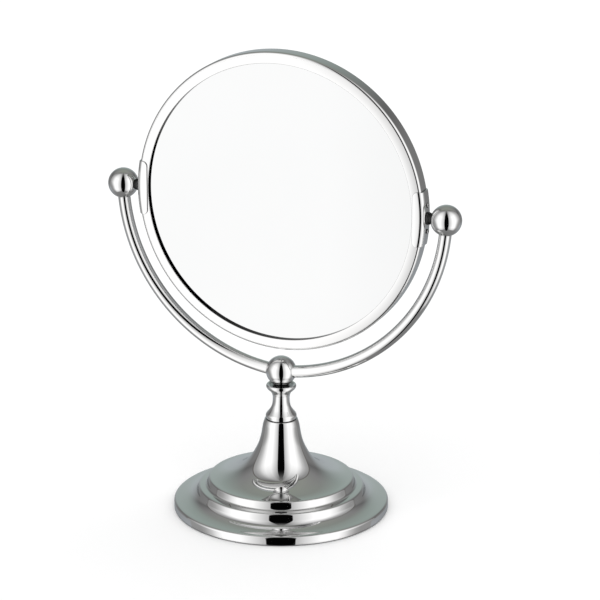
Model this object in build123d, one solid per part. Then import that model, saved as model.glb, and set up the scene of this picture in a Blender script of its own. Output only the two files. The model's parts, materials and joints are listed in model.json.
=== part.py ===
from build123d import *
from math import asin, atan2, cos, degrees, radians, sin, sqrt
import os

# Two-sided countertop mirror on a spun pedestal. Millimetres, +Z up, origin at the centre of
# the base's underside. The mirror tilts about X, and its plain face looks along -Y at rest.

# Heights and places of the main centres
PIVOT_Z = 232.9
HUB_Z = 104.9
BALL_X = 124.8
BALL_R = 11.12

# Base: a spun shell in three steps that sweeps up into a bell
RIM_R = 78.7
RIM_BOTTOM_Z = 0.3
RIM_FLANGE = 4.5
FLANGE_TOP_Z = 1.15
RIM_TOP_Z = 6.9
RIM_RADII = [0.7, 1.7]
SHELL_WALL = 1.8
TREAD_POINTS = [(75.0, 7.2), (70.5, 7.75), (66.5, 8.7), (63.4, 10.4)]
TREAD_END = (61.5, 13.2)
STEPS = [(60.4, 17.2), (54.5, 17.6), (53.0, 23.4)]
STEP_RADII = [1.8, 2.2, 1.5]
DISH_START = (50.9, 23.6)
BELL_POINTS = [(42.0, 25.1), (33.8, 28.2), (25.9, 33.8), (20.1, 41.8), (16.5, 49.3), (14.5, 56.8)]
BELL_SHOULDER = (13.15, 64.6)
BELL_TOP_Z = 68.5
BELL_TOP_R = 11.8
BELL_CEILING_Z = 64.7
INNER_SHARES = (0.06, 0.18, 0.3, 0.42, 0.54, 0.66, 0.78, 0.9)
COVER_Z = (1.2, 2.4)
COVER_R = 76.6
PAD_R = 73.8
BALLAST_Z = (2.45, 13.5)
BALLAST_R = (9.0, 48.0)

# Neck
NECK_BOTTOM_Z = 69.0
NECK_FOOT_R = 11.3
NECK_FOOT = [(11.25, 70.9), (10.85, 72.1), (9.9, 73.3)]
NECK_STEM = [(9.9, 73.3), (8.1, 75.7), (6.9, 78.1), (6.3, 80.8), (6.15, 83.6), (6.6, 87.2), (7.8, 89.3),
             (9.5, 90.9)]
NECK_CUP = [(9.5, 90.9), (10.45, 92.0), (10.95, 93.4), (10.3, 94.8), (9.4, 94.7)]
NECK_GROOVE = [(9.4, 94.7), (7.4, 94.0), (5.3, 94.8)]
UP_AND_IN = (-0.62, 0.78)
UP_AND_OUT = (0.75, 0.66)
INTO_GROOVE = (-1, -0.25)
OUT_OF_GROOVE = (-1, 0.45)
NECK_EDGE = 0.3
NECK_BORE_R = 3.2
SEAT_PLAY = 0.02

# Tie rod
ROD_R = 3.0
ROD_Z = (53.5, 102.2)
ROD_BORE_R = 3.08
ROD_TAP_R = 3.02
ROD_CHAMFER = 0.5
ROD_WASHER_R = (3.22, 8.5)
ROD_WASHER_Z = (63.45, 64.65)
SPRING_WASHER_R = (3.12, 5.7)
SPRING_WASHER_Z = (61.8, 63.4)
SPRING_WASHER_GAP = 1.2
NUT_FLATS = 10.0
NUT_Z = (56.7, 61.75)
NECK_WASHER_R = 10.6

# Yoke arms
TUBE_R = 4.5
TUBE_WALL = 1.0
ARM_BEND_R = 130.0
ARM_END_GAP = 5.6
SOCKET_PLAY = 0.03

# Clearance of fixings and seats that don't move
PLAY = 0.05

# Mirror head, sizes by radius from the head's centre and by half thickness
HEAD_R = 109.7
BAND_WALL = 1.1
BAND_CORNER = 2.3
BAND_HALF = 6.76
BAND_START = 9.0
FACE_HALF = 7.15
VIEW_R = 101.6
FACE_R = 107.73
LIP_WIDTH = 0.9
SHEET = 0.8
BEZEL_ROUND = 0.35
SKIRT_Y = (4.0, 4.55)
SKIRT_R = 108.5
SKIRT_STEP = 1.35
GLASS_R = 104.6
GLASS_FRONT = 4.5
PLAIN_GLASS = 2.0
CURVED_GLASS = 2.0
MAGNIFIER_R = 1480.0
BOARD_Y = (-2.45, -1.25)
CUSHION_Y = (-1.2, 2.0)
CUSHION_R = 96.5

# Side brackets and their fixings
BRACKET_R = 111.1
BRACKET_BORE = 109.75
BRACKET_HALF_Y = 7.7
BEND_R = (2.3, 3.05)
TAB_X = 102.2
BRACKET_HALF_Z = 19.8
TAB_CORNER = 3.5
TAB_LOW_R = 100.0
TAB_RISE = 0.5
SCREW_Z = 9.5
SCREW_R = 1.2
SCREW_HEAD = (1.75, 1.05)
SCREW_ROUND = 0.5
SCREW_CROSS = (0.5, 0.4, 2.0)
BLOCK_R = (105.0, 108.55)
BLOCK_HALF = 3.9
BLOCK_HALF_Z = 16.0

# Tilt pivots
PIN_R = 2.0
PIN_PLAY = 0.06
PIN_HEAD_R = 3.0
PIN_HEAD_X = (107.7, 109.65)
PIN_END_X = 119.8
HEAD_HOLE_R = 3.4
DRILL_X = (100, 115)
PIN_SLOT = (0.8, 0.9)
SPOT_X = 114.4
SPOT_R = 4.0
WASHERS = {"nylon_washer": (111.18, 112.1, 4.5), "wave_washer": (112.15, 113.05, 4.2),
           "steel_washer": (113.1, 114.35, 3.9)}

UP = Axis.Z
TILT_AXIS_PLANE = Plane(origin=(0, 0, PIVOT_Z), x_dir=(0, 1, 0), z_dir=(1, 0, 0))
HEAD_AXIS = Axis((0, 0, PIVOT_Z), (0, 1, 0))


def save(name, shape):
    shape.label = name
    export_step(shape, f"parts/{name}.step")


def turned(edges):
    """A solid of revolution about Z from closed profile edges given as (radius, height)."""
    return revolve(Plane.XZ * make_face(edges), axis=UP)


def turned_polygon(points):
    return turned(Polyline(*points, close=True).edges())


def ring(r_in, r_out, z_low, z_high):
    """A flat ring or, with no inner radius, a disc about Z."""
    return turned_polygon([(r_in, z_low), (r_out, z_low), (r_out, z_high), (r_in, z_high)])


def head_turned(points):
    """A ring of the head from a closed profile of (y, radius) points."""
    face = make_face(Polyline(*points, close=True).edges())
    return revolve(TILT_AXIS_PLANE * face, axis=HEAD_AXIS)


def rod_along_x(radius, x_from, x_to, y=0.0, z=PIVOT_Z):
    """A cylinder along X between two x positions."""
    centre = Pos((x_from + x_to) / 2, y, z)
    return centre * Rot(0, 90, 0) * Cylinder(radius, x_to - x_from)


def other_side(shape):
    return mirror(shape, about=Plane.YZ)


# ---- base -------------------------------------------------------------------------------

def bell_curve():
    """The shell's outer curve from the dish to the bell's shoulder."""
    return Spline(DISH_START, *BELL_POINTS, BELL_SHOULDER, tangents=[(-1, 0.06), (-0.22, 1)])


def inner_bell_points(curve):
    """Points one wall thickness inside the outer curve, up to the bell's ceiling."""
    points = []
    for share in INNER_SHARES:
        at, along = curve @ share, curve % share
        points.append((at.X - along.Y * SHELL_WALL, at.Y + along.X * SHELL_WALL))
    return points


def base_shell():
    curve = bell_curve()
    rim = FilletPolyline((RIM_R - RIM_FLANGE, RIM_BOTTOM_Z), (RIM_R, RIM_BOTTOM_Z), (RIM_R, RIM_TOP_Z),
                         TREAD_POINTS[0], radius=RIM_RADII)
    tread = Spline(*TREAD_POINTS, TREAD_END, tangents=[(-1, 0.08), (-0.16, 1)])
    steps = FilletPolyline(TREAD_END, *STEPS, DISH_START, radius=STEP_RADII)
    shoulder = FilletPolyline(BELL_SHOULDER, (BELL_TOP_R + 0.1, BELL_TOP_Z),
                              (ROD_BORE_R, BELL_TOP_Z), radius=[0.9])
    inner = inner_bell_points(curve)
    top_inside = (BELL_SHOULDER[0] - SHELL_WALL, BELL_CEILING_Z)
    inside = Spline(top_inside, *reversed(inner), tangents=[(0.15, -1), (1, -0.08)])
    wall = SHELL_WALL
    floor_edge = RIM_R - wall
    stairs = [*reversed(STEPS), (TREAD_POINTS[-1][0] - 1, TREAD_POINTS[-1][1])]
    corners = [inner[0], *[(r - wall, z - wall) for r, z in stairs],
               (floor_edge, RIM_TOP_Z - wall), (floor_edge, FLANGE_TOP_Z), (RIM_R - RIM_FLANGE, FLANGE_TOP_Z),
               (RIM_R - RIM_FLANGE, RIM_BOTTOM_Z)]
    ceiling = Polyline((ROD_BORE_R, BELL_TOP_Z), (ROD_BORE_R, BELL_CEILING_Z), top_inside)
    lines = (rim, tread, steps, curve, shoulder, ceiling, inside, Polyline(*corners))
    return turned([edge for line in lines for edge in line.edges()])


def build_base():
    save("base_shell", base_shell())
    save("base_cover", ring(0, COVER_R, *COVER_Z))
    save("felt_pad", ring(0, PAD_R, 0, 1.15))
    save("ballast_disc", ring(*BALLAST_R, *BALLAST_Z))


# ---- neck and tie rod -------------------------------------------------------------------

def neck():
    foot = Polyline((NECK_BORE_R, NECK_BOTTOM_Z), (NECK_FOOT_R - NECK_EDGE, NECK_BOTTOM_Z),
                    (NECK_FOOT_R, NECK_BOTTOM_Z + NECK_EDGE), NECK_FOOT[0])
    top_z = NECK_GROOVE[-1][1]
    bore = Polyline(NECK_GROOVE[-1], (NECK_BORE_R, top_z), (NECK_BORE_R, NECK_BOTTOM_Z))
    curves = [Spline(*NECK_FOOT, tangents=[(0, 1), UP_AND_IN]),
              Spline(*NECK_STEM, tangents=[UP_AND_IN, UP_AND_OUT]),
              Spline(*NECK_CUP, tangents=[UP_AND_OUT, INTO_GROOVE]),
              Spline(*NECK_GROOVE, tangents=[INTO_GROOVE, OUT_OF_GROOVE])]
    body = turned([edge for line in (foot, *curves, bore) for edge in line.edges()])
    return body - Pos(0, 0, HUB_Z) * Sphere(BALL_R + SEAT_PLAY)


def hex_nut(flats, bore, z_low, z_high):
    body = extrude(Pos(0, 0, z_low) * RegularPolygon(flats / 2, 6, major_radius=False), z_high - z_low)
    return body - Pos(0, 0, (z_low + z_high) / 2) * Cylinder(bore, z_high - z_low + 1)


def split_washer(r_in, r_out, z_low, z_high, gap):
    washer = ring(r_in, r_out, z_low, z_high)
    return washer - Pos(r_out, 0, (z_low + z_high) / 2) * Box(2 * r_out, gap, z_high - z_low + 1)


def build_neck():
    save("neck", neck())
    washer_z = (BELL_TOP_Z + SEAT_PLAY, NECK_BOTTOM_Z - SEAT_PLAY)
    save("neck_washer", ring(NECK_BORE_R, NECK_WASHER_R, *washer_z))
    rod_length = ROD_Z[1] - ROD_Z[0]
    rod = Pos(0, 0, sum(ROD_Z) / 2) * Cylinder(ROD_R, rod_length)
    save("tie_rod", chamfer(rod.edges().filter_by(GeomType.CIRCLE), ROD_CHAMFER))
    save("tie_rod_washer", ring(*ROD_WASHER_R, *ROD_WASHER_Z))
    save("tie_rod_spring_washer", split_washer(*SPRING_WASHER_R, *SPRING_WASHER_Z, SPRING_WASHER_GAP))
    save("tie_rod_nut", hex_nut(NUT_FLATS, ROD_TAP_R, *NUT_Z))


# ---- yoke -------------------------------------------------------------------------------

def arm_centre():
    """Centre of the right arm's bend: the arc runs from the hub's centre to the ball's centre."""
    dx, dz = BALL_X, PIVOT_Z - HUB_Z
    chord = sqrt(dx * dx + dz * dz)
    rise = sqrt(ARM_BEND_R**2 - (chord / 2) ** 2)
    return dx / 2 - dz / chord * rise, HUB_Z + dz / 2 + dx / chord * rise


def arm_solid(radius, extra=0.0, wall=None):
    """The right arm as a piece of a torus, open at both ends when it has a wall."""
    cx, cz = arm_centre()
    start = degrees(atan2(HUB_Z - cz, -cx))
    end = degrees(atan2(PIVOT_Z - cz, BALL_X - cx))
    inset = degrees((ARM_END_GAP - extra) / ARM_BEND_R)
    section = Circle(radius) - Circle(radius - wall) if wall else Circle(radius)
    angle = radians(start + inset)
    across = Plane(origin=(cx + ARM_BEND_R * cos(angle), 0, cz + ARM_BEND_R * sin(angle)),
                   x_dir=(0, 1, 0), z_dir=(-sin(angle), 0, cos(angle)))
    bend_axis = Axis((cx, 0, cz), (0, -1, 0))
    return revolve(across * section, axis=bend_axis, revolution_arc=end - start - 2 * inset)


def end_ball():
    ball = Pos(BALL_X, 0, PIVOT_Z) * Sphere(BALL_R)
    spot_face = rod_along_x(SPOT_R, SPOT_X - 5, SPOT_X)
    tapped = rod_along_x(PIN_R + SEAT_PLAY, SPOT_X - 1, PIN_END_X + 0.3)
    return ball - arm_solid(TUBE_R + SOCKET_PLAY, 0.05) - spot_face - tapped


def hub_ball():
    socket = arm_solid(TUBE_R + SOCKET_PLAY, 0.05)
    tap_length = ROD_Z[1] + 0.5 - (HUB_Z - BALL_R - 1)
    tapped = Pos(0, 0, ROD_Z[1] + 0.5 - tap_length / 2) * Cylinder(ROD_TAP_R, tap_length)
    return Pos(0, 0, HUB_Z) * Sphere(BALL_R) - socket - other_side(socket) - tapped


def pivot_pin():
    head = rod_along_x(PIN_HEAD_R, *PIN_HEAD_X)
    slot_depth, slot_width = PIN_SLOT
    head -= Pos(PIN_HEAD_X[0], 0, PIVOT_Z) * Box(2 * slot_depth, slot_width, 3 * PIN_HEAD_R)
    return head + rod_along_x(PIN_R, PIN_HEAD_X[1] - 0.3, PIN_END_X)


def build_yoke():
    save("hub_ball", hub_ball())
    pieces = {"arm": arm_solid(TUBE_R, wall=TUBE_WALL), "ball": end_ball(), "pivot_pin": pivot_pin()}
    for name, (x_from, x_to, radius) in WASHERS.items():
        pieces[name] = rod_along_x(radius, x_from, x_to) - rod_along_x(PIN_R + PLAY, x_from - 1, x_to + 1)
    for name, piece in pieces.items():
        save(f"right_{name}", piece)
        save(f"left_{name}", other_side(piece))


# ---- mirror head ------------------------------------------------------------------------

def screw_spots():
    """Rotations about the head's axis that carry the +X direction to each bracket screw."""
    swing = degrees(asin(SCREW_Z / BRACKET_R))
    return [Pos(0, 0, PIVOT_Z) * Rot(0, turn, 0) for turn in (-swing, swing, 180 - swing, 180 + swing)]


def radial_rod(spot, radius, r_from, r_to):
    return spot * rod_along_x(radius, r_from, r_to, z=0)


def fixing_holes(radius):
    holes = [radial_rod(spot, radius, *DRILL_X) for spot in screw_spots()]
    return holes + [rod_along_x(HEAD_HOLE_R, *DRILL_X), rod_along_x(HEAD_HOLE_R, -DRILL_X[1], -DRILL_X[0])]


def corner_point(half, radius, corner, angle):
    """A point of a channel's rounded corner, as (y, radius): 0 degrees on the face and 90 on the side."""
    turn = radians(angle)
    return half - corner + corner * cos(turn), radius - corner + corner * sin(turn)


def rounded_channel(half, radius, corner, start):
    """The outer line of a channel section, with each corner's arc from its start angle to the side."""
    front = [corner_point(half, radius, corner, angle) for angle in (start, (start + 90) / 2, 90)]
    back = [(-y, r) for y, r in reversed(front)]
    return [*ThreePointArc(*front).edges(), *Line(front[2], back[0]).edges(), *ThreePointArc(*back).edges()]


def channel(outside, inside, lip_r, start=0.0, rise=0.0):
    """A turned channel open towards the head's centre, between two (half width, radius, corner) lines."""
    edges = [*rounded_channel(*outside, start), *rounded_channel(*inside, start)]
    near, far = corner_point(*inside, start), corner_point(*outside, start)
    for side in (1, -1):
        lip = [(side * near[0], near[1]), (side * (near[0] + rise), lip_r), (side * (far[0] + rise), lip_r),
               (side * far[0], far[1])]
        edges += Polyline(*lip).edges() if rise else Line(lip[0], lip[3]).edges()
    return revolve(TILT_AXIS_PLANE * make_face(edges), axis=HEAD_AXIS)


def outer_band():
    """The rounded side of the head, with an edge on each face that meets the bezel."""
    inside = (BAND_HALF - BAND_WALL, HEAD_R - BAND_WALL, BAND_CORNER - BAND_WALL)
    band = channel((BAND_HALF, HEAD_R, BAND_CORNER), inside, 0, start=BAND_START)
    for hole in fixing_holes(SCREW_R + PLAY):
        band -= hole
    return band


def bezel(side):
    """A trim ring: a crowned face, a lip onto the glass and a skirt behind the band's edge."""
    lip, lip_r = GLASS_FRONT + PLAY, VIEW_R + LIP_WIDTH
    crown_from = VIEW_R + BEZEL_ROUND
    crown_r = (FACE_R - crown_from) / sin(radians(BAND_START))
    crown = [(FACE_HALF - crown_r * (1 - cos(radians(a))), crown_from + crown_r * sin(radians(a)))
             for a in (0, BAND_START / 2, BAND_START)]
    under, neck_r = crown[2][0] - SHEET, FACE_R - SHEET
    skirt_low, skirt_high = SKIRT_Y
    points = [(FACE_HALF - BEZEL_ROUND, VIEW_R), (lip, VIEW_R), (lip, lip_r), (under, lip_r), (under, neck_r),
              (skirt_low, neck_r), (skirt_low, SKIRT_R), (skirt_high, SKIRT_R),
              (skirt_high, SKIRT_R - SKIRT_STEP), crown[2]]
    slant = BEZEL_ROUND * (1 - sqrt(0.5))
    corner = [crown[0], (FACE_HALF - slant, VIEW_R + slant), points[0]]
    edges = [*Polyline(*points).edges(), *ThreePointArc(*reversed(crown)).edges(),
             *ThreePointArc(*corner).edges()]
    ring_solid = revolve(TILT_AXIS_PLANE * make_face(edges), axis=HEAD_AXIS)
    return ring_solid if side > 0 else mirror(ring_solid, about=Plane.XZ)


def head_disc(y_low, y_high, r_out, r_in=0.0):
    return head_turned([(y_low, r_in), (y_high, r_in), (y_high, r_out), (y_low, r_out)])


def magnifying_glass():
    """Glass of even thickness bent to a hollow sphere, its hollow face towards +Y."""
    seat_r = VIEW_R + 0.9
    centre = GLASS_FRONT + sqrt(MAGNIFIER_R**2 - seat_r**2)
    span = degrees(asin(GLASS_R / MAGNIFIER_R))
    hollow = CenterArc((centre, 0), MAGNIFIER_R, 180 - span, span)
    back = CenterArc((centre, 0), MAGNIFIER_R + CURVED_GLASS, 180 - span, span)
    rims = [Line(hollow @ end, back @ end) for end in (0, 1)]
    edges = [edge for line in (hollow, back, *rims) for edge in line.edges()]
    return revolve(TILT_AXIS_PLANE * make_face(edges), axis=HEAD_AXIS)


def head_slice(half_z, x_from, x_to, corner):
    """A block beside the head, rounded at its inner corners, that cuts a bracket to length."""
    outline = Pos((x_from + x_to) / 2, 0) * Rectangle(x_to - x_from, 2 * half_z)
    if corner:
        inner_corners = outline.vertices().sort_by(Axis.X)[:2]
        outline = fillet(inner_corners, corner)
    front = Plane(origin=(0, 0, PIVOT_Z), x_dir=(1, 0, 0), z_dir=(0, -1, 0))
    return extrude(front * outline, 2 * BRACKET_HALF_Y, both=True)


def bracket():
    """A sheet bent over the band, with a tab on each face of the head, and the pivot's bore."""
    outside = (BRACKET_HALF_Y, BRACKET_R, BEND_R[1])
    inside = (BRACKET_HALF_Y - SHEET, BRACKET_BORE, BEND_R[0])
    saddle = channel(outside, inside, TAB_LOW_R, rise=TAB_RISE)
    saddle &= head_slice(BRACKET_HALF_Z, TAB_X, BRACKET_R + 2, TAB_CORNER)
    saddle -= rod_along_x(PIN_R + PIN_PLAY, *DRILL_X)
    for spot in screw_spots()[:2]:
        saddle -= radial_rod(spot, SCREW_R + PLAY, *DRILL_X)
    return saddle


def pivot_block():
    """Curved nut plate inside the band that takes the bracket's screws."""
    block = head_disc(-BLOCK_HALF, BLOCK_HALF, BLOCK_R[1], BLOCK_R[0])
    block &= head_slice(BLOCK_HALF_Z, BLOCK_R[0] - 5, BLOCK_R[1] + 5, 0)
    block -= rod_along_x(HEAD_HOLE_R, *DRILL_X)
    for spot in screw_spots()[:2]:
        block -= radial_rod(spot, SCREW_R + SEAT_PLAY, *DRILL_X)
    return block


def bracket_screw(spot):
    radius, height = SCREW_HEAD
    head = radial_rod(spot, radius, BRACKET_R, BRACKET_R + height)
    outer_edge = head.edges().filter_by(GeomType.CIRCLE).sort_by(lambda edge: abs(edge.center().X))[-1]
    head = fillet(outer_edge, SCREW_ROUND)
    depth, width, length = SCREW_CROSS
    slots = [Box(2 * depth, width, length), Box(2 * depth, length, width)]
    for slot in slots:
        head -= spot * Pos(BRACKET_R + height, 0, 0) * slot
    return head + radial_rod(spot, SCREW_R, BLOCK_R[0] + 0.4, BRACKET_R + 0.2)


def build_head():
    save("outer_band", outer_band())
    save("front_bezel", bezel(-1))
    save("back_bezel", bezel(1))
    save("front_glass", head_disc(-GLASS_FRONT, PLAIN_GLASS - GLASS_FRONT, GLASS_R))
    save("back_glass", magnifying_glass())
    save("backing_board", head_disc(*BOARD_Y, GLASS_R))
    save("cushion_ring", head_disc(*CUSHION_Y, GLASS_R, CUSHION_R))
    for name, piece in {"bracket": bracket(), "pivot_block": pivot_block()}.items():
        save(f"right_{name}", piece)
        save(f"left_{name}", other_side(piece))
    save("bracket_screws", Compound(children=[bracket_screw(spot) for spot in screw_spots()]))


def main():
    os.makedirs("parts", exist_ok=True)
    build_base()
    build_neck()
    build_yoke()
    build_head()


main()
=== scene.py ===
import json
from math import acos, atan2, cos, degrees, pi, radians, sin, sqrt

import bpy
import numpy as np
from mathutils import Matrix, Vector


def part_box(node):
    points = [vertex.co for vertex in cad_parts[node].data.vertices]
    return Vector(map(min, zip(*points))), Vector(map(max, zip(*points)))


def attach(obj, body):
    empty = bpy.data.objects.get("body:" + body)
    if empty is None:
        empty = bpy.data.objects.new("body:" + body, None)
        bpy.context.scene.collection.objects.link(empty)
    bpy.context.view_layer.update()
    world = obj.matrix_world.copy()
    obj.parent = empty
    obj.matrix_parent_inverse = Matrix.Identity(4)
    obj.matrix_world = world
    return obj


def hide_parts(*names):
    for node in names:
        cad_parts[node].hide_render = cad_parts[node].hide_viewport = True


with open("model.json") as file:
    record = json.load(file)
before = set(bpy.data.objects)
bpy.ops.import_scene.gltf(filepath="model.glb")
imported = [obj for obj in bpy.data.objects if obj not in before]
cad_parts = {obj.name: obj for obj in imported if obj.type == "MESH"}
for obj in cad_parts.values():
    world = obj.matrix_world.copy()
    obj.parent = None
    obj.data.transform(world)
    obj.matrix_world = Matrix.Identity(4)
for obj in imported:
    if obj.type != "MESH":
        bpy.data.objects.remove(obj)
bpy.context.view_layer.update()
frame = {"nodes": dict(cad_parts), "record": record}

# Chrome pieces are rebuilt here as fine smooth meshes, because polished metal shows every facet.
# Profiles are in millimetres, and they are placed by the boxes of CAD nodes.
MM = 0.001
SHARP = radians(32)
TURN_STEPS = 256


# ---- profiles ---------------------------------------------------------------------------

def arc_points(centre, radius, start, end, step=6.0):
    """Points of an arc from start to end, angles in degrees."""
    count = max(2, int(abs(end - start) / step) + 1)
    angles = np.radians(np.linspace(start, end, count))
    return [(centre[0] + radius * cos(a), centre[1] + radius * sin(a)) for a in angles]


def rounded(points, radii):
    """A path through points whose inner corners are rounded with the given radii."""
    path = [points[0]]
    for before, corner, after, radius in zip(points, points[1:], points[2:], radii):
        p, c, q = (np.array(point, float) for point in (before, corner, after))
        u = (p - c) / np.linalg.norm(p - c)
        v = (q - c) / np.linalg.norm(q - c)
        half = acos(max(-1.0, min(1.0, float(u @ v)))) / 2
        centre = c + (u + v) / np.linalg.norm(u + v) * radius / sin(half)
        first, last = c + u * radius / np.tan(half) - centre, c + v * radius / np.tan(half) - centre
        start, end = degrees(atan2(first[1], first[0])), degrees(atan2(last[1], last[0]))
        end = start + (end - start + 180) % 360 - 180
        path += arc_points(centre, radius, start, end)
    return path + [points[-1]]


def curved(points, start, end, steps=8):
    """A smooth curve through points that leaves along start and arrives along end."""
    p = np.array(points, float)
    gaps = np.linalg.norm(np.diff(p, axis=0), axis=1)
    size = len(p)
    system, known = np.eye(size), np.zeros((size, 2))
    known[0] = np.array(start) / np.linalg.norm(start)
    known[-1] = np.array(end) / np.linalg.norm(end)
    for i in range(1, size - 1):
        system[i, i - 1:i + 2] = gaps[i], 2 * (gaps[i - 1] + gaps[i]), gaps[i - 1]
        known[i] = 3 * (gaps[i - 1] * (p[i + 1] - p[i]) / gaps[i] + gaps[i] * (p[i] - p[i - 1]) / gaps[i - 1])
    slopes = np.linalg.solve(system, known)
    path = [tuple(p[0])]
    for i, gap in enumerate(gaps):
        for t in np.linspace(0, 1, steps + 1)[1:]:
            path.append(tuple((2 * t**3 - 3 * t**2 + 1) * p[i] + (t**3 - 2 * t**2 + t) * gap * slopes[i]
                              + (3 * t**2 - 2 * t**3) * p[i + 1] + (t**3 - t**2) * gap * slopes[i + 1]))
    return path


# ---- meshes -----------------------------------------------------------------------------

def make_mesh(name, vertices, faces, smooth=True):
    """An object from vertices in metres, shaded smooth except across sharp edges."""
    mesh = bpy.data.meshes.new(name)
    mesh.from_pydata([tuple(v) for v in vertices], [], faces)
    mesh.validate()
    if smooth:
        mesh.polygons.foreach_set("use_smooth", [True] * len(mesh.polygons))
        mesh.set_sharp_from_angle(angle=SHARP)
    made = bpy.data.objects.new(name, mesh)
    bpy.context.scene.collection.objects.link(made)
    return made


def axis_frame(centre, axis):
    """A function from millimetres (across, across, along) to a place, with along on the named axis."""
    place = {"X": ((0, 1, 0), (0, 0, 1), (1, 0, 0)),
             "Y": ((0, 0, 1), (1, 0, 0), (0, 1, 0)),
             "-Y": ((1, 0, 0), (0, 0, 1), (0, -1, 0)),
             "-X": ((0, 0, 1), (0, 1, 0), (-1, 0, 0)),
             "Z": ((1, 0, 0), (0, 1, 0), (0, 0, 1))}[axis]
    return lambda u, v, w: Vector(centre) + MM * sum((Vector(d) * s for d, s in zip(place, (u, v, w))),
                                                     Vector())


def turned(name, profile, centre, axis="Z", steps=TURN_STEPS):
    """A closed solid of revolution from (radius, along) points, listed counter-clockwise."""
    to_place = axis_frame(centre, axis)
    vertices, rows = [], []
    for radius, along in profile:
        if radius < 1e-6:
            rows.append([len(vertices)] * steps)
            vertices.append(to_place(0, 0, along))
            continue
        rows.append(list(range(len(vertices), len(vertices) + steps)))
        for i in range(steps):
            turn = 2 * pi * i / steps
            vertices.append(to_place(radius * cos(turn), radius * sin(turn), along))
    faces = []
    for low, high in zip(rows, rows[1:] + rows[:1]):
        for i in range(steps):
            j = (i + 1) % steps
            face = list(dict.fromkeys((low[i], low[j], high[j], high[i])))
            if len(face) > 2:
                faces.append(face)
    return make_mesh(name, vertices, faces)


def middle(node):
    low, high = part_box(node)
    return (low + high) / 2


def foot(node, height=0.0):
    """The middle of a node's lower face, and below that by height in millimetres."""
    low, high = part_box(node)
    return Vector(((low.x + high.x) / 2, (low.y + high.y) / 2, low.z - height * MM))


def show(piece, body, slot, *nodes):
    """Puts a rebuilt piece on a body, in its slot's finish, in place of the CAD nodes."""
    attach(piece, body)
    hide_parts(*nodes)
    piece.data.materials.append(materials[slot])
    return piece


# ---- materials --------------------------------------------------------------------------

class Nodes:
    """Short forms for building a material's node tree."""

    def __init__(self, name):
        self.material = bpy.data.materials.new(name)
        self.material.use_nodes = True
        self.tree = self.material.node_tree
        self.tree.nodes.clear()

    def add(self, kind, inputs=None, **settings):
        node = self.tree.nodes.new(kind)
        for key, value in settings.items():
            setattr(node, key, value)
        for key, value in (inputs or {}).items():
            if isinstance(value, bpy.types.NodeSocket):
                self.tree.links.new(value, node.inputs[key])
            else:
                node.inputs[key].default_value = value
        return node

    def place(self, scale=(1, 1, 1)):
        """Object coordinates in metres, stretched by scale."""
        where = self.add("ShaderNodeTexCoord").outputs["Object"]
        return self.add("ShaderNodeMapping", {"Vector": where, "Scale": scale}).outputs["Vector"]

    def noise(self, scale, detail=4.0, stretch=(1, 1, 1), rough=0.55):
        inputs = {"Vector": self.place(stretch), "Scale": scale, "Detail": detail, "Roughness": rough}
        return self.add("ShaderNodeTexNoise", inputs).outputs["Fac"]

    def spread(self, value, low, high, at=(0.3, 0.7)):
        """Runs from low to high while value runs between the two ends of at."""
        return self.add("ShaderNodeMapRange", {"Value": value, "From Min": at[0], "From Max": at[1],
                                               "To Min": low, "To Max": high}).outputs["Result"]

    def maths(self, operation, a, b=0.0):
        return self.add("ShaderNodeMath", {0: a, 1: b}, operation=operation).outputs[0]

    def blend(self, factor, a, b):
        mix = self.add("ShaderNodeMix", data_type="RGBA")
        for key, value in ((0, factor), (6, a), (7, b)):
            if isinstance(value, bpy.types.NodeSocket):
                self.tree.links.new(value, mix.inputs[key])
            else:
                mix.inputs[key].default_value = value
        return mix.outputs[2]

    def bump(self, height, strength, distance):
        return self.add("ShaderNodeBump", {"Height": height, "Strength": strength,
                                           "Distance": distance}).outputs["Normal"]

    def finish(self, colour, roughness, normal, **sockets):
        inputs = {"Base Color": colour, "Roughness": roughness, "Normal": normal}
        inputs.update({key.replace("_", " "): value for key, value in sockets.items()})
        shader = self.add("ShaderNodeBsdfPrincipled", inputs)
        self.add("ShaderNodeOutputMaterial", {"Surface": shader.outputs[0]})
        return self.material


def grey(value, warm=0.0):
    return (value * (1 + warm), value, value * (1 - warm), 1)


HAZE = (18, 6)
# Painted shade: faces carrying this attribute are painted near black. This stands in for the dark gap at the
# bezel's inner wall.
GAP_SHADE_ATTRIBUTE = "painted_gap_shade"
GAP_SHADE_BLACK = 0.012
# Painted shade: ambient occlusion within this reach darkens the metal's colour in corners, seams and
# recesses, where shade falls, down to this share of its lightness.
PAINTED_SHADE_REACH = 0.0035
PAINTED_SHADE_AT = (0.25, 0.8)
PAINTED_SHADE_SHARE = 0.15
EDGE_TINT = 0.7
COARSE_SHARE = 0.12
DUST_ROUGH = 0.012
DUST_AT = (0.62, 0.8)


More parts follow.
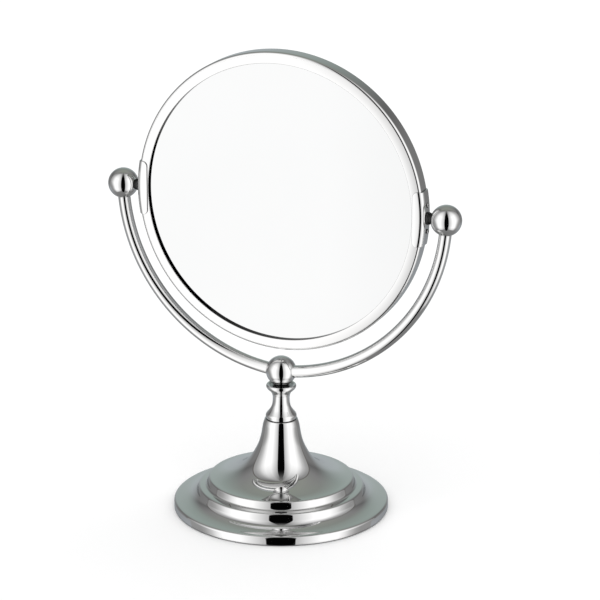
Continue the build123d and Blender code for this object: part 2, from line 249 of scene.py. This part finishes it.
def metal(name, light, dark, rough, bump, grain=600.0, stretch=(1, 1, 1)):
    """Metal with handling haze and fine rub marks; painted shade darkens its corners and recesses, and faces
    marked for the painted gap shade are painted near black.
    """
    n = Nodes(name)
    haze = n.noise(*HAZE)
    rubs = n.noise(grain, 3, stretch)
    clean = n.blend(n.spread(haze, 0, 1), light, dark)
    # Painted shade: corners and recesses found by ambient occlusion are painted darker.
    painted_shade = n.add("ShaderNodeAmbientOcclusion", {"Distance": PAINTED_SHADE_REACH}, samples=8).outputs["AO"]
    colour = n.blend(n.spread(painted_shade, 0, 1, PAINTED_SHADE_AT), grey(light[1] * PAINTED_SHADE_SHARE), clean)
    # Painted shade: the bezel's marked inner wall is painted near black.
    painted_gap_shade = n.add("ShaderNodeAttribute", attribute_name=GAP_SHADE_ATTRIBUTE).outputs["Fac"]
    colour = n.blend(painted_gap_shade, colour, grey(GAP_SHADE_BLACK))
    roughness = n.maths("ADD", n.spread(haze, *rough), n.spread(rubs, 0, (rough[1] - rough[0]) * 0.5))
    return n.finish(colour, roughness, n.bump(rubs, *bump), Metallic=1.0, Specular_Tint=grey(EDGE_TINT))


def matte(name, light, dark, rough, bump, grain, detail=6.0):
    """A dull finish whose colour, roughness and relief vary with two sizes of grain."""
    n = Nodes(name)
    coarse = n.noise(grain * COARSE_SHARE, 3)
    fine = n.noise(grain, detail, rough=0.7)
    colour = n.blend(n.spread(n.maths("MULTIPLY", n.maths("ADD", coarse, fine), 0.5), 0, 1), light, dark)
    return n.finish(colour, n.spread(fine, *rough), n.bump(fine, *bump))


def silvered(name, light, dark, rough):
    """Silvered glass: a clear reflection with the faintest haze and dust."""
    n = Nodes(name)
    haze = n.noise(9, 5)
    dust = n.noise(900, 2)
    colour = n.blend(n.spread(haze, 0, 1), light, dark)
    roughness = n.maths("ADD", n.spread(haze, *rough), n.spread(dust, 0, DUST_ROUGH, DUST_AT))
    return n.finish(colour, roughness, n.bump(haze, 0.02, 0.00002), Metallic=1.0)


materials = {
    "chrome": metal("chrome", grey(0.93), grey(0.9, 0.006), (0.012, 0.04), (0.03, 0.00002), 700),
    "plated_screw": metal("plated_screw", grey(0.82), grey(0.7, 0.01), (0.08, 0.2), (0.1, 0.00003), 1500),
    "cast_weight": matte("cast_weight", grey(0.03), grey(0.012), (0.6, 0.85), (0.6, 0.0004), 500),
    "sheet_steel": metal("sheet_steel", grey(0.5), grey(0.36, 0.02), (0.28, 0.45), (0.2, 0.00005), 260,
                         (1, 24, 1)),
    "zinc_steel": metal("zinc_steel", grey(0.62, 0.02), grey(0.45, 0.04), (0.22, 0.4), (0.2, 0.00004), 900),
    "felt": matte("felt", grey(0.022), grey(0.006), (0.88, 1.0), (0.9, 0.0005), 1600, 10.0),
    "nylon": matte("nylon", grey(0.03), grey(0.018), (0.35, 0.5), (0.15, 0.0001), 900),
    "spring_steel": metal("spring_steel", grey(0.08), grey(0.03), (0.3, 0.5), (0.2, 0.00004), 1200),
    "mirror_glass": silvered("mirror_glass", (0.868, 0.87, 0.87, 1), (0.853, 0.856, 0.856, 1),
                             (0.004, 0.014)),
    "backing": matte("backing", (0.32, 0.22, 0.13, 1), (0.24, 0.16, 0.09, 1), (0.8, 0.95),
                     (0.5, 0.0003), 900),
    "foam": matte("foam", grey(0.02), grey(0.01), (0.85, 0.98), (0.8, 0.0006), 1300),
}


def dress_cad_nodes():
    """Gives every CAD node the finish of its slot; those replaced below are hidden later."""
    for part in frame["record"]["subparts"]:
        node = frame["nodes"][part["node"]]
        node.data.materials.clear()
        node.data.materials.append(materials[part["material_slot"]])


dress_cad_nodes()


# ---- base -------------------------------------------------------------------------------

RIM_R = 78.7
RIM_RADII = [0.7, 1.7]
WALL = 1.8
RIM_TOP = 6.9
FOOT_WIDTH = 4.5
FOOT_TOP = 1.15
TREAD = [(75.0, 7.2), (70.5, 7.75), (66.5, 8.7), (63.4, 10.4), (61.5, 13.2)]
STEPS = [(60.4, 17.2), (54.5, 17.6), (53.0, 23.4)]
STEP_RADII = [1.8, 2.2, 1.5]
TREAD_BEND = 3
UNDER_TREAD = 2.8
DISH = [(50.9, 23.6), (42.0, 25.1), (33.8, 28.2), (25.9, 33.8), (20.1, 41.8), (16.5, 49.3), (14.5, 56.8),
        (13.15, 64.6)]
BELL_TOP = (11.9, 68.5)
BELL_TOP_RADIUS = 0.9
BELL_CEILING = 64.7
SHELL_LOW = 0.3
SHELL_BORE = 3.08


def base_shell():
    return turned("base_shell_look", shell_outside() + shell_inside(), foot("base_shell", SHELL_LOW))


def shell_outside():
    """The shown side of the shell, from under the rim up to the bore of the bell."""
    rim = rounded([(RIM_R - FOOT_WIDTH, SHELL_LOW), (RIM_R, SHELL_LOW), (RIM_R, RIM_TOP), TREAD[0]],
                  RIM_RADII)
    tread = curved(TREAD, (-1, 0.08), (-0.16, 1))
    steps = rounded([TREAD[-1], *STEPS, DISH[0]], STEP_RADII)
    bell = curved(DISH, (-1, 0.06), (-0.22, 1), steps=12)
    top = rounded([DISH[-1], BELL_TOP, (SHELL_BORE, BELL_TOP[1])], [BELL_TOP_RADIUS])
    return rim + tread[1:] + steps[1:] + bell[1:] + top[1:]


def shell_inside():
    """The hidden side of the shell, about one wall in from the shown side."""
    bend = TREAD[TREAD_BEND]
    inside = [(SHELL_BORE, BELL_CEILING), (DISH[-1][0] - WALL, BELL_CEILING)]
    inside += [(r - WALL * 0.8, z - WALL * 0.6) for r, z in reversed(DISH[2:-1])]
    inside += [(r - WALL, z - WALL) for r, z in [DISH[0], *reversed(STEPS)]]
    inside += [(bend[0] - UNDER_TREAD, bend[1] - WALL), (RIM_R - WALL, RIM_TOP - WALL)]
    return inside + [(RIM_R - WALL, FOOT_TOP), (RIM_R - FOOT_WIDTH, FOOT_TOP)]


show(base_shell(), "base", "chrome", "base_shell")


# ---- neck and hub -----------------------------------------------------------------------

NECK_LOW = 69.0
NECK_TOP = 94.8
NECK_BORE = 3.2
NECK_FOOT_R = 11.3
NECK_FOOT_RADIUS = 0.35
NECK_FOOT = [(11.25, 70.9), (10.85, 72.1), (9.9, 73.3)]
NECK_WAIST = [(9.9, 73.3), (8.1, 75.7), (6.9, 78.1), (6.3, 80.8), (6.15, 83.6), (6.6, 87.2), (7.8, 89.3),
              (9.5, 90.9)]
NECK_CUP = [(9.5, 90.9), (10.45, 92.0), (10.95, 93.4), (10.3, 94.8), (9.4, 94.7)]
NECK_HOLLOW = [(9.4, 94.7), (7.4, 94.0), (5.3, NECK_TOP)]
TO_WAIST = (-0.62, 0.78)
TO_CUP = (0.75, 0.66)
TO_HOLLOW = (-1, -0.25)
BALL_R = 11.12
BALL_STEPS = 192
BALL_FLAT_X = 114.4


def neck():
    profile = rounded([(NECK_BORE, NECK_LOW), (NECK_FOOT_R, NECK_LOW), NECK_FOOT[0]], [NECK_FOOT_RADIUS])
    profile += curved(NECK_FOOT, (0, 1), TO_WAIST)[1:]
    profile += curved(NECK_WAIST, TO_WAIST, TO_CUP)[1:]
    profile += curved(NECK_CUP, TO_CUP, TO_HOLLOW)[1:]
    profile += curved(NECK_HOLLOW, TO_HOLLOW, (-1, 0.45))[1:]
    return turned("neck_look", profile + [(NECK_BORE, NECK_TOP)], foot("neck", NECK_LOW))


def ball(name, centre, axis, flat=BALL_R):
    """A ball about a centre, cut flat at that distance along the axis."""
    edge = arc_points((0, 0), BALL_R, -90, 90 - degrees(acos(flat / BALL_R)), 2.0)
    edge[0] = (0.0, -BALL_R)
    if flat < BALL_R:
        edge.append((0.0, edge[-1][1]))
    else:
        edge[-1] = (0.0, BALL_R)
    return turned(name, edge, centre, axis, BALL_STEPS)


def hub_centre():
    """The hub ball's centre, from the top of its box."""
    low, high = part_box("hub_ball")
    return Vector((0, 0, high.z - BALL_R * MM))


pivot_z = middle("outer_band").z
ball_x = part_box("right_ball")[1].x / MM - BALL_R
right_end = Vector((ball_x * MM, 0, pivot_z))
left_end = Vector((-ball_x * MM, 0, pivot_z))
flat_at = ball_x - BALL_FLAT_X

show(neck(), "yoke", "chrome", "neck")
show(ball("hub_ball_look", hub_centre(), "Z"), "yoke", "chrome", "hub_ball")
show(ball("right_ball_look", right_end, "-X", flat_at), "yoke", "chrome", "right_ball")
show(ball("left_ball_look", left_end, "X", flat_at), "yoke", "chrome", "left_ball")


# ---- arms -------------------------------------------------------------------------------

BEND_R = 130.0
TUBE_R = 4.5
TUBE_BORE = 3.5
ARM_INSET = 5.6
ARM_AROUND = 64
ARM_ALONG = 160


def arm_arc():
    """The tube's bend as its centre (x, z) and its start and end angles."""
    hub_z, end_z = hub_centre().z / MM, pivot_z / MM
    dx, dz = ball_x, end_z - hub_z
    chord = sqrt(dx * dx + dz * dz)
    rise = sqrt(BEND_R**2 - (chord / 2) ** 2)
    cx, cz = dx / 2 - dz / chord * rise, hub_z + dz / 2 + dx / chord * rise
    inset = ARM_INSET / BEND_R
    start = atan2(hub_z - cz, -cx) + inset
    end = atan2(end_z - cz, dx - cx) - inset
    return cx, cz, start, end


def arm(name, side):
    """A tube bent to an arc from the hub ball into the end ball."""
    cx, cz, start, end = arm_arc()
    vertices = []
    for radius in (TUBE_R, TUBE_BORE):
        for angle in np.linspace(start, end, ARM_ALONG):
            for turn in np.linspace(0, 2 * pi, ARM_AROUND, endpoint=False):
                out = BEND_R + radius * cos(turn)
                vertices.append((side * (cx + out * cos(angle)) * MM, radius * sin(turn) * MM,
                                 (cz + out * sin(angle)) * MM))
    faces = tube_faces(ARM_AROUND, ARM_ALONG)
    return make_mesh(name, vertices, faces if side > 0 else [face[::-1] for face in faces])


def tube_faces(around, along):
    """Faces of a tube whose outer rings of vertices come first and then its inner rings."""
    faces = []
    wall = around * along
    for row in range(along - 1):
        for i in range(around):
            j = (i + 1) % around
            a, b, c, d = row * around + i, row * around + j, (row + 1) * around + j, (row + 1) * around + i
            faces += [(a, b, c, d), (wall + d, wall + c, wall + b, wall + a)]
    for row in (0, along - 1):
        for i in range(around):
            j = (i + 1) % around
            a, b = row * around + i, row * around + j
            rim = (a, b, wall + b, wall + a)
            faces.append(rim[::-1] if row == 0 else rim)
    return faces


show(arm("right_arm_look", 1), "yoke", "chrome", "right_arm")
show(arm("left_arm_look", -1), "yoke", "chrome", "left_arm")


# ---- mirror head ------------------------------------------------------------------------

HEAD_STEPS = 384
HEAD_R = 109.7
BAND_CORNER = 2.3
BAND_WALL = 1.1
BAND_HALF = 6.76
BAND_START = 9.0
FACE_HALF = 7.15
FACE_R = 107.73
BEZEL_SHEET = 0.8
BEZEL_EDGE = 0.35
SKIRT_R = 108.5
SKIRT_WIDTH = 1.35
SKIRT_Y = (4.0, 4.55)
VIEW_R = 101.6
LIP_R = VIEW_R + 0.9
LIP_GAP = 0.05
WALL_MARGIN = 0.02
GLASS_R = 104.6
GLASS_CHAMFER = 0.3
GLASS_FRONT = 4.5
GLASS_SHEET = 2.0
MAGNIFIER_R = 1480.0
MAGNIFIER_RINGS = 40
head_centre = Vector((0, 0, pivot_z))


def channel_line(half, radius, corner, start):
    """The (radius, y) line of a channel section from its back edge round to its front edge."""
    low = arc_points((radius - corner, corner - half), corner, start - 90, 0, 4)
    return low + arc_points((radius - corner, half - corner), corner, 0, 90 - start, 4)


def outer_band():
    outside = channel_line(BAND_HALF, HEAD_R, BAND_CORNER, BAND_START)
    inside = channel_line(BAND_HALF - BAND_WALL, HEAD_R - BAND_WALL, BAND_CORNER - BAND_WALL, BAND_START)
    return turned("outer_band_look", [*outside, *reversed(inside)], head_centre, "Y", HEAD_STEPS)


def bezel(name, axis):
    """The trim ring: a crowned face with a rounded inner edge, a lip to the glass and a skirt."""
    crown_from = VIEW_R + BEZEL_EDGE
    crown_r = (FACE_R - crown_from) / sin(radians(BAND_START))
    crown = arc_points((crown_from, FACE_HALF - crown_r), crown_r, 90 - BAND_START, 90, 0.75)
    inner = arc_points((crown_from, FACE_HALF - BEZEL_EDGE), BEZEL_EDGE, 90, 180, 10)
    under, wall_r, lip_y = crown[0][1] - BEZEL_SHEET, FACE_R - BEZEL_SHEET, GLASS_FRONT + LIP_GAP
    skirt_low, skirt_high = SKIRT_Y
    profile = [(SKIRT_R, skirt_low), (SKIRT_R, skirt_high), (SKIRT_R - SKIRT_WIDTH, skirt_high), *crown,
               *inner[1:], (VIEW_R, lip_y), (LIP_R, lip_y), (LIP_R, under), (wall_r, under),
               (wall_r, skirt_low)]
    made = turned(name, profile, head_centre, axis, HEAD_STEPS)
    # Painted shade: the inner wall is marked to be painted near black.
    paint_gap_shade_on_wall(made)
    return made


def paint_gap_shade_on_wall(ring):
    """Marks the ring's inner wall to be painted near black: painted shade standing in for the dark gap
    between the bezel and the glass.
    """
    marks = ring.data.attributes.new(GAP_SHADE_ATTRIBUTE, "FLOAT", "FACE")
    for face, mark in zip(ring.data.polygons, marks.data):
        away = face.center - head_centre
        mark.value = float(Vector((away.x, 0, away.z)).length < (VIEW_R + WALL_MARGIN) * MM)


def plain_glass():
    """A flat disc with chamfered edges."""
    back, flat_r = GLASS_FRONT - GLASS_SHEET, GLASS_R - GLASS_CHAMFER
    profile = [(0, back), (flat_r, back), (GLASS_R, back + GLASS_CHAMFER),
               (GLASS_R, GLASS_FRONT - GLASS_CHAMFER), (flat_r, GLASS_FRONT), (0, GLASS_FRONT)]
    return turned("front_glass_look", profile, head_centre, "-Y", HEAD_STEPS)


def magnifying_glass():
    """Even glass bent to a hollow sphere whose rim meets the bezel's lip."""
    middle_y = GLASS_FRONT + sqrt(MAGNIFIER_R**2 - LIP_R**2)
    radii = np.linspace(0, GLASS_R, MAGNIFIER_RINGS)
    back = [(r, middle_y - sqrt((MAGNIFIER_R + GLASS_SHEET) ** 2 - r * r)) for r in radii]
    face = [(r, middle_y - sqrt(MAGNIFIER_R**2 - r * r)) for r in radii[::-1]]
    return turned("back_glass_look", back + face, head_centre, "Y", HEAD_STEPS)


show(outer_band(), "mirror_head", "chrome", "outer_band")
show(bezel("front_bezel_look", "-Y"), "mirror_head", "chrome", "front_bezel")
show(bezel("back_bezel_look", "Y"), "mirror_head", "chrome", "back_bezel")
show(plain_glass(), "mirror_head", "mirror_glass", "front_glass")
show(magnifying_glass(), "mirror_head", "mirror_glass", "back_glass")


# ---- brackets ---------------------------------------------------------------------------

BRACKET_R = 111.1
BRACKET_BORE = 109.75
BRACKET_HALF_Y = 7.7
BRACKET_SHEET = 0.8
BRACKET_BEND = (3.6, 4.4)
TAB_X = 102.2
TAB_TILT = 0.0665
BRACKET_HALF_Z = 19.8
TAB_CORNER = 3.5
TAB_EDGE = 0.25
BRACKET_END = 0.25
CORNER_FROM = 0.42


def bracket_section(z, shrink):
    """The bracket's closed outline (x, y) at a height, drawn in by shrink at its ends."""
    past = abs(z) - (BRACKET_HALF_Z - TAB_CORNER)
    corner = TAB_CORNER - sqrt(TAB_CORNER**2 - past * past) if past > 0 else 0.0
    x_in = TAB_X + corner + shrink
    x_out = sqrt((BRACKET_R - shrink) ** 2 - z * z)
    x_bore = sqrt(BRACKET_BORE**2 - z * z)
    inner_bend, outer_bend = BRACKET_BEND
    half = BRACKET_HALF_Y - shrink
    inner_half = BRACKET_HALF_Y - BRACKET_SHEET
    rise = TAB_TILT * (x_out - outer_bend - x_in)
    low = arc_points((x_out - outer_bend, outer_bend - half), outer_bend, -90, 0, 5)
    high = [(x, -y) for x, y in reversed(low)]
    tip = arc_points((x_in + TAB_EDGE, half + rise - TAB_EDGE), TAB_EDGE, 90, 180, 18)
    bend = arc_points((x_bore - inner_bend, inner_half - inner_bend), inner_bend, 90, 0, 15)
    inside = [(x_in, inner_half + rise), *bend]
    return [*low, *high[1:], *tip, *inside, *[(x, -y) for x, y in reversed(inside)],
            *[(x, -y) for x, y in reversed(tip)]]


def bracket_levels():
    """Heights of the bracket's sections from bottom to top, each with how far its ends draw in."""
    turn, straight = BRACKET_HALF_Z - TAB_CORNER, BRACKET_HALF_Z - BRACKET_END
    upper = [(BRACKET_HALF_Z - BRACKET_END * (1 - cos(t)), BRACKET_END * (1 - sin(t)))
             for t in np.linspace(0, pi / 2, 5)]
    corner = [turn + TAB_CORNER * cos(t) for t in np.linspace(CORNER_FROM, pi / 2, 14)]
    upper += [(z, 0.0) for z in corner if z <= straight]
    levels = upper + [(-z, shrink) for z, shrink in upper]
    levels += [(z, 0.0) for z in np.linspace(-turn, turn, 40)[1:-1]]
    return sorted((round(z, 5), round(shrink, 5)) for z, shrink in levels)


def bracket(name, side):
    """A saddle over the band, lofted through its sections from bottom to top."""
    levels = bracket_levels()
    rows = [bracket_section(z, shrink) for z, shrink in levels]
    size = len(rows[0])
    vertices = [(side * x * MM, y * MM, pivot_z + z * MM)
                for (z, _), row in zip(levels, rows) for x, y in row]
    faces = []
    for k in range(len(rows) - 1):
        for i in range(size):
            j = (i + 1) % size
            faces.append((k * size + i, k * size + j, (k + 1) * size + j, (k + 1) * size + i))
    last = (len(rows) - 1) * size
    faces.append(tuple(reversed(range(size))))
    faces.append(tuple(range(last, last + size)))
    if side < 0:
        faces = [face[::-1] for face in faces]
    return make_mesh(name, vertices, faces)


show(bracket("right_bracket_look", 1), "mirror_head", "chrome", "right_bracket")
show(bracket("left_bracket_look", -1), "mirror_head", "chrome", "left_bracket")


# ---- studio -----------------------------------------------------------------------------

CAMERA_AZIMUTH = 22.55
CAMERA_ELEVATION = 18.05
CAMERA_ROLL = 0.14
CAMERA_DISTANCE = 2060.0
CAMERA_TARGET = (14.63, 0.0, 160.68)
FOCAL_WIDTHS = 4.78
SENSOR = 36.0
WORLD_LIGHT = 1.16
FLOOR_HALF = 60.0
TENT_R = 9.0
TENT_RINGS = 49
TENT_STEPS = 96
TENT_HEIGHT = 0.7
TENT_LIGHT = 1.12

# The dome's pattern. Angles are in half turns: around from the camera's side, and lift from level.
# Stops are (place, brightness or colour), and height is lift + 0.5, from straight down to straight up.
# An edge is where an oval fades, as a share of the way from its middle to its outline.
OVAL_POWER = 4.0
LIGHT_MIDDLE = (0.33, 0.1)
LIGHT_HALF = (0.31, 0.405)
LIGHT_EDGE = (0.965, 1.0)
LIGHT_ACROSS = [(0.1, 0.5), (0.14, 0.64), (0.2, 0.84), (0.245, 1.0), (0.38, 1.0), (0.45, 0.78), (0.51, 0.52),
                (0.58, 0.34), (0.64, 0.27)]
LIGHT_UP = [(0.16, 0.3), (0.21, 0.62), (0.3, 1.0), (0.7, 1.0), (0.81, 0.76), (0.88, 0.55), (0.92, 0.4),
            (0.967, 0.27), (1.0, 0.2)]
LEAN_BELOW = 0.03
LEAN_DEPTH = 0.13
LEAN_FROM = 0.3
LEAN = 4.0
SLOT_MIDDLE = (0.0, 0.07)
SLOT_HALF = (0.088, 0.42)
SLOT_EDGE = (0.97, 1.03)
SLOT_FADE = (0.28, 0.5)
SLOT_CURVE = 2.0
SLOT_BLACK = 0.001
SLOT_TOP = 0.2
ZENITH = (0.2, 0.21, 0.19, 1)
SIDES = [(0.0, 0.16), (0.2, 0.2), (0.36, (0.34, 0.36, 0.38, 1)), (0.44, 0.2), (0.56, 0.18), (0.62, 0.12),
         (0.72, 0.2), (0.85, (0.24, 0.25, 0.23, 1)), (1.0, ZENITH)]
BACK = [(0.0, 0.16), (0.2, 0.24), (0.38, (0.4, 0.43, 0.45, 1)), (0.5, (0.5, 0.54, 0.56, 1)),
        (0.56, (0.46, 0.51, 0.52, 1)), (0.6, (0.38, 0.43, 0.42, 1)), (0.66, (0.28, 0.33, 0.31, 1)),
        (0.74, (0.22, 0.24, 0.22, 1)), (0.86, (0.24, 0.26, 0.23, 1)), (1.0, ZENITH)]
BACK_BLEND = (0.76, 0.98)
RIM_BROWN = (0.09, 0.08, 0.07, 1)
RIM_EDGE = (1.0, 1.05)
RIM_LEVEL = (-0.06, 0.06)


def set_camera():
    """A plain camera aimed at the target from its azimuth and elevation."""
    a, e, roll = radians(CAMERA_AZIMUTH), radians(CAMERA_ELEVATION), radians(CAMERA_ROLL)
    back = Vector((sin(a) * cos(e), -cos(a) * cos(e), sin(e)))
    right = Vector((cos(a), sin(a), 0))
    up = back.cross(right)
    level_right = right * cos(roll) + up * sin(roll)
    level_up = up * cos(roll) - right * sin(roll)
    data = bpy.data.cameras.new("camera")
    data.sensor_width = SENSOR
    data.lens = FOCAL_WIDTHS * SENSOR
    data.clip_end = 100
    camera = bpy.data.objects.new("camera", data)
    turn = Matrix((level_right, level_up, back)).transposed().to_4x4()
    place = Vector(CAMERA_TARGET) * MM + back * CAMERA_DISTANCE * MM
    camera.matrix_world = Matrix.Translation(place) @ turn
    bpy.context.scene.collection.objects.link(camera)
    bpy.context.scene.camera = camera


def ramp(n, value, stops):
    """A colour ramp of grey or coloured stops over 0 to 1."""
    node = n.add("ShaderNodeValToRGB", {"Fac": value})
    elements = node.color_ramp.elements
    while len(elements) < len(stops):
        elements.new(1.0)
    for element, (at, colour) in zip(elements, stops):
        element.position = at
        element.color = colour if isinstance(colour, tuple) else grey(colour)
    return node.outputs["Color"]


def falloff(n, value, near, far):
    """1 below near, 0 above far, and smooth between."""
    return n.add("ShaderNodeMapRange", {"Value": value, "From Min": near, "From Max": far, "To Min": 1.0,
                                        "To Max": 0.0}, interpolation_type="SMOOTHSTEP").outputs["Result"]


def oval(n, around, lift, middle, half):
    """How far a direction lies from an oval patch's middle: 1 on its edge. Angles in half turns."""
    parts = []
    for value, centre, size in zip((around, lift), middle, half):
        share = n.maths("DIVIDE", n.maths("ABSOLUTE", n.maths("SUBTRACT", value, centre)), size)
        parts.append(n.maths("POWER", share, OVAL_POWER))
    return n.maths("POWER", n.maths("ADD", *parts), 1 / OVAL_POWER)


def directions(n):
    """Nodes for how far around from the camera's side and how high a point of the dome lies."""
    place = n.add("ShaderNodeNewGeometry").outputs["Position"]
    turned_place = n.add("ShaderNodeVectorRotate", {"Vector": place, "Angle": radians(-CAMERA_AZIMUTH)},
                         rotation_type="Z_AXIS").outputs[0]
    unit = n.add("ShaderNodeVectorMath", {0: turned_place}, operation="NORMALIZE").outputs[0]
    x, y, z = n.add("ShaderNodeSeparateXYZ", {0: unit}).outputs
    around = n.maths("ABSOLUTE", n.maths("ARCTAN2", x, n.maths("MULTIPLY", y, -1.0)))
    around = n.maths("DIVIDE", around, pi)
    lift = n.maths("DIVIDE", n.maths("ARCSINE", z), pi)
    return around, lift


def soft_lights(n, around, lift, height):
    """Two wide lights that fade outward, more so low down, and towards the top."""
    depth = n.maths("MAXIMUM", n.maths("SUBTRACT", LEAN_BELOW, lift), 0.0)
    below = n.maths("MINIMUM", depth, LEAN_DEPTH)
    outward = n.maths("MAXIMUM", n.maths("SUBTRACT", around, LEAN_FROM), 0.0)
    lean = n.maths("MULTIPLY", n.maths("MULTIPLY", below, outward), LEAN)
    lights = n.add("ShaderNodeMix", data_type="RGBA", blend_type="MULTIPLY")
    n.tree.links.new(ramp(n, n.maths("ADD", around, lean), LIGHT_ACROSS), lights.inputs[6])
    n.tree.links.new(ramp(n, height, LIGHT_UP), lights.inputs[7])
    lights.inputs[0].default_value = 1.0
    return lights.outputs[2]


def tent_material():
    """What the metal reflects: two tall soft lights with a dark slot between them."""
    n = Nodes("tent")
    around, lift = directions(n)
    height = n.maths("ADD", lift, 0.5)
    lights = soft_lights(n, around, lift, height)
    room = n.blend(falloff(n, around, *BACK_BLEND), ramp(n, height, BACK), ramp(n, height, SIDES))
    edge = oval(n, around, lift, LIGHT_MIDDLE, LIGHT_HALF)
    line = n.blend(falloff(n, lift, *RIM_LEVEL), RIM_BROWN, room)
    outside = n.blend(falloff(n, edge, *RIM_EDGE), room, line)
    colour = n.blend(falloff(n, edge, *LIGHT_EDGE), outside, lights)
    slot = falloff(n, oval(n, around, lift, SLOT_MIDDLE, SLOT_HALF), *SLOT_EDGE)
    fade = n.maths("POWER", n.spread(lift, 0, 1, SLOT_FADE), SLOT_CURVE)
    colour = n.blend(slot, colour, n.blend(fade, grey(SLOT_BLACK), grey(SLOT_TOP)))
    glow = n.add("ShaderNodeEmission", {"Color": colour, "Strength": TENT_LIGHT})
    n.add("ShaderNodeOutputMaterial", {"Surface": glow.outputs[0]})
    n.material.cycles.emission_sampling = "NONE"
    return n.material


def make_tent():
    """A large dome that only mirror reflections see, so the metal has a studio to show."""
    angles = np.linspace(-90, 90, TENT_RINGS)
    profile = [(TENT_R / MM * cos(radians(t)), TENT_R / MM * sin(radians(t))) for t in angles]
    tent = turned("tent", profile, Vector((0, 0, pivot_z * TENT_HEIGHT)), "Z", TENT_STEPS)
    tent.data.materials.append(tent_material())
    tent.visible_camera = False
    tent.visible_diffuse = False
    tent.visible_shadow = False
    tent.visible_transmission = False
    return tent


def make_floor():
    """A wide pale floor that the camera and soft light see; it is kept out of the metal."""
    n = Nodes("floor")
    cloud = n.noise(3.0, 3)
    n.finish(n.blend(n.spread(cloud, 0, 1), grey(0.93), grey(0.915)), n.spread(cloud, 0.8, 0.9),
             n.bump(cloud, 0.02, 0.0005), Specular_IOR_Level=0.0)
    corners = [(x * FLOOR_HALF, y * FLOOR_HALF, 0) for x, y in ((-1, -1), (1, -1), (1, 1), (-1, 1))]
    floor = make_mesh("floor", corners, [(0, 1, 2, 3)], smooth=False)
    floor.data.materials.append(n.material)
    floor.visible_glossy = False
    return floor


def set_world():
    """An even white light that mirror reflections don't see."""
    world = bpy.data.worlds.new("world")
    world.use_nodes = True
    background = world.node_tree.nodes["Background"]
    background.inputs["Color"].default_value = (1, 1, 1, 1)
    background.inputs["Strength"].default_value = WORLD_LIGHT
    world.cycles_visibility.glossy = False
    bpy.context.scene.world = world


set_camera()
set_world()
make_floor()
make_tent()
bpy.context.scene.view_settings.view_transform = "Standard"
